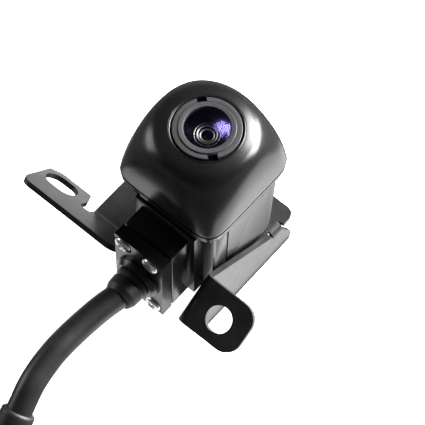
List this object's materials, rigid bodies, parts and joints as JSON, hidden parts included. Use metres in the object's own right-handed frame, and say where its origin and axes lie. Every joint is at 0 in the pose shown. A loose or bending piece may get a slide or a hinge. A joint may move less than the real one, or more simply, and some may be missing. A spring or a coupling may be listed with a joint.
{
  "type": "backup camera",
  "caption": "Small sealed rear-view camera with a domed square front, fish-eye lens and screwed cable outlet, on a bent steel bracket with a slotted ear and a holed tab.",
  "frame": {"origin": "under the middle of the camera and its bracket, level with the bracket's foot", "axes": "+Z along the lens axis, the way the camera looks; the cable leaves the camera towards -Y; the bracket's tab is on the +X side and its slotted ear on the -X side"},
  "size_m": [0.0828, 0.1524, 0.0536],
  "materials": {
    "black_plastic": "satin, fine grain",
    "black_steel": "satin black powder coat",
    "lens_metal": "black anodised",
    "coated_glass": "violet anti-reflection coating",
    "screw_chrome": "plated steel",
    "black_rubber": "matte",
    "cable_jacket": "satin PVC jacket",
    "circuit_board": "solder mask",
    "chip_black": "moulded",
    "brass": "bright",
    "wire_red": "insulation",
    "wire_black": "insulation",
    "wire_yellow": "insulation",
    "wire_white": "insulation"
  },
  "bodies": {
    "camera": {"board_header": "chip_black", "board_nut_1": "brass", "board_nut_2": "brass", "board_screw_1": "screw_chrome", "board_screw_2": "screw_chrome", "board_spacer_1": "brass", "board_spacer_2": "brass", "bracket": "black_steel", "bracket_screw_1": "screw_chrome", "bracket_screw_2": "screw_chrome", "bracket_screw_3": "screw_chrome", "cable": "cable_jacket", "cable_coil": "cable_jacket", "cable_gland": "black_rubber", "cable_sleeve": "black_rubber", "cable_tail": "cable_jacket", "cover_seal": "black_rubber", "front_cover": "black_plastic", "front_glass": "coated_glass", "image_sensor": "chip_black", "ir_filter": "coated_glass", "lens_barrel": "lens_metal", "lens_holder": "black_plastic", "lens_ring": "lens_metal", "lens_seal": "black_rubber", "main_board": "circuit_board", "outlet_cover": "black_plastic", "outlet_gasket": "black_rubber", "outlet_screw_1": "screw_chrome", "outlet_screw_2": "screw_chrome", "outlet_screw_3": "screw_chrome", "outlet_screw_4": "screw_chrome", "plug_body": "black_plastic", "plug_pin_1": "brass", "plug_pin_2": "brass", "plug_pin_3": "brass", "plug_pin_4": "brass", "rear_housing": "black_plastic", "rear_lens": "coated_glass", "second_lens": "coated_glass", "sensor_board": "circuit_board", "spacer_ring": "lens_metal", "stop_ring": "lens_metal", "video_chip": "chip_black", "wire_1": "wire_red", "wire_2": "wire_black", "wire_3": "wire_yellow", "wire_4": "wire_white"},
    "latch": {"plug_latch": "black_plastic"}
  },
  "joints": [
    {"name": "latch_press", "type": "hinge", "parent": "camera", "child": "latch", "pos_m": [-0.04685, -0.03455, 0.0111], "axis": [1, 0, 0], "range_deg": [0, 4.5], "stiffness_Nm_per_rad": 0.01}
  ]
}
